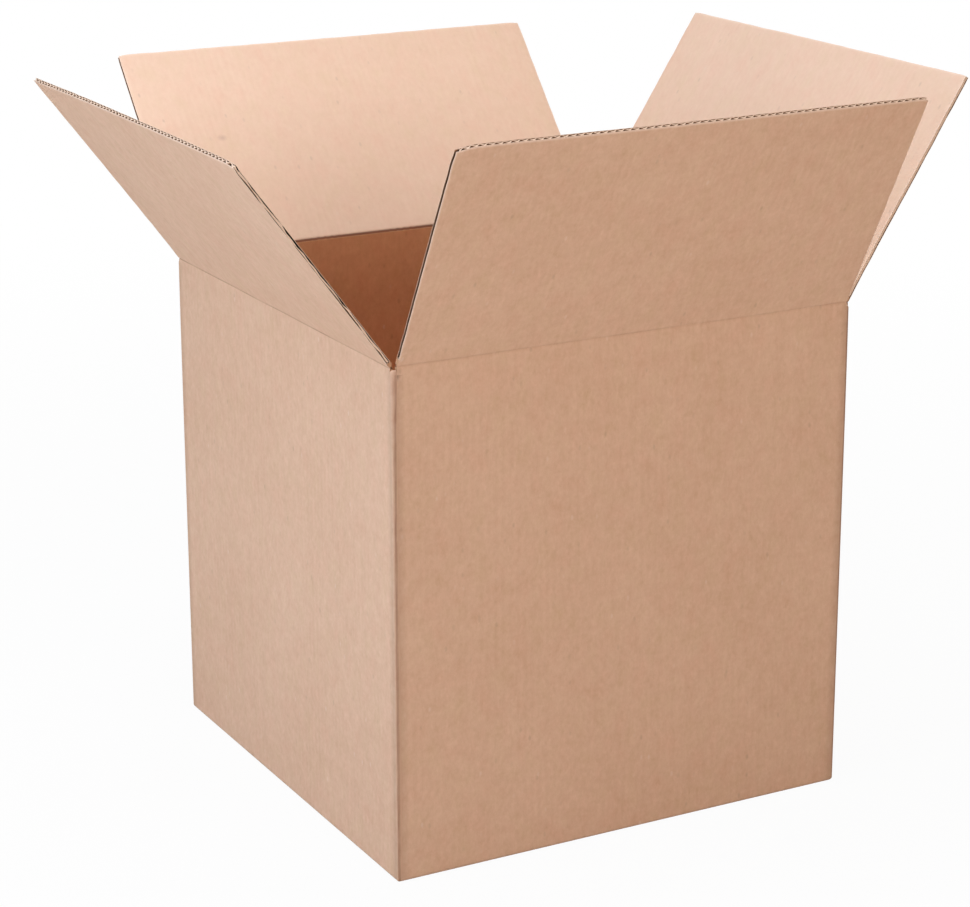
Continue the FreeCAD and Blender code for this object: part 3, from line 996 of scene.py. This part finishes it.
def make_lights():
    """Soft lamps above, at the left and in front, and a weak one behind at the right."""
    middle = (0.0, 0.0, 0.45)
    area_light("top", (0.0, 0.2, 3.2), middle, (1.2, 1.2), 37.5, (1.0, 1.0, 1.02))
    area_light("high_left", (-1.2, -0.1, 1.8), middle, (0.9, 0.9), 9.5, (0.91, 1.0, 1.18))
    area_light("low_left", (-3.2, -0.3, 0.6), middle, (2.2, 1.2), 18.5, (0.93, 1.05, 1.22))
    area_light("near_left", (-1.9, -0.6, 0.9), middle, (1.2, 1.0), 11.5, (0.88, 1.05, 1.32))
    area_light("high_front", (0.0, -3.0, 1.4), (0.0, 0.0, 0.1), (2.0, 1.0), 31.0, (1.15, 0.98, 0.89))
    area_light("low_right", (2.8, 2.2, 0.9), middle, (1.8, 1.2), 20.0)


# How much of the floor's look near the box is plain white, and between which distances from
# the middle of the box it turns all white
NEAR_WHITE = 0.96
WHITENS_FROM = 0.5
WHITE_FROM = 2.5
# The weak even light from all round that falls on the box and the floor
WORLD_LIGHT = 0.08
# How far the floor reaches each way
FLOOR_REACH = 30.0


def make_stage():
    """A pale floor that keeps the shadow, and a white background."""
    n = Nodes("floor_paper")
    n.shader.inputs["Base Color"].default_value = (0.78, 0.77, 0.76, 1.0)
    n.shader.inputs["Roughness"].default_value = 0.9
    n.shader.inputs["Specular IOR Level"].default_value = 0.1
    path = n.add("ShaderNodeLightPath")
    seen = n.math("MAXIMUM", path.outputs["Is Camera Ray"], path.outputs["Is Glossy Ray"])
    seen = n.math("MAXIMUM", seen, path.outputs["Is Transmission Ray"])
    glow = n.add("ShaderNodeEmission")
    glow.inputs["Color"].default_value = (1.0, 1.0, 1.0, 1.0)
    glow.inputs["Strength"].default_value = 1.0
    # near the box the floor is part paper, so it keeps the shadow, and far away it is plain white
    away = n.add("ShaderNodeVectorMath", operation="LENGTH")
    n.link(n.add("ShaderNodeTexCoord").outputs["Object"], away.inputs[0])
    white = n.add("ShaderNodeMapRange", interpolation_type="SMOOTHSTEP")
    n.link(away.outputs["Value"], white.inputs["Value"])
    white.inputs["From Min"].default_value = WHITENS_FROM
    white.inputs["From Max"].default_value = WHITE_FROM
    white.inputs["To Min"].default_value = NEAR_WHITE
    white.inputs["To Max"].default_value = 1.0
    both = n.add("ShaderNodeMixShader")
    n.link(n.math("MULTIPLY", seen, white.outputs[0]), both.inputs[0])
    n.link(n.shader.outputs[0], both.inputs[1])
    n.link(glow.outputs[0], both.inputs[2])
    out = next(x for x in n.tree.nodes if x.type == "OUTPUT_MATERIAL")
    n.link(both.outputs[0], out.inputs["Surface"])
    mesh = bpy.data.meshes.new("floor")
    turns = ((-1, -1), (1, -1), (1, 1), (-1, 1))
    corners = [(x * FLOOR_REACH, y * FLOOR_REACH, 0.0) for x, y in turns]
    mesh.from_pydata(corners, [], [(0, 1, 2, 3)])
    mesh.materials.append(n.material)
    floor = bpy.data.objects.new("floor", mesh)
    bpy.context.scene.collection.objects.link(floor)

    world = bpy.data.worlds.new("studio")
    bpy.context.scene.world = world
    world.use_nodes = True
    tree = world.node_tree
    background = tree.nodes["Background"]
    path = tree.nodes.new("ShaderNodeLightPath")
    seen = path.outputs["Is Camera Ray"]
    for ray in ("Is Glossy Ray", "Is Transmission Ray"):
        either = tree.nodes.new("ShaderNodeMath")
        either.operation = "MAXIMUM"
        tree.links.new(seen, either.inputs[0])
        tree.links.new(path.outputs[ray], either.inputs[1])
        seen = either.outputs[0]
    strength = tree.nodes.new("ShaderNodeMapRange")
    strength.inputs["To Min"].default_value = WORLD_LIGHT
    strength.inputs["To Max"].default_value = 1.0
    tree.links.new(seen, strength.inputs["Value"])
    background.inputs["Color"].default_value = (1.0, 1.0, 1.0, 1.0)
    tree.links.new(strength.outputs[0], background.inputs["Strength"])
    bpy.context.scene.view_settings.view_transform = "Standard"


make_camera()
build_box()
make_lights()
make_stage()
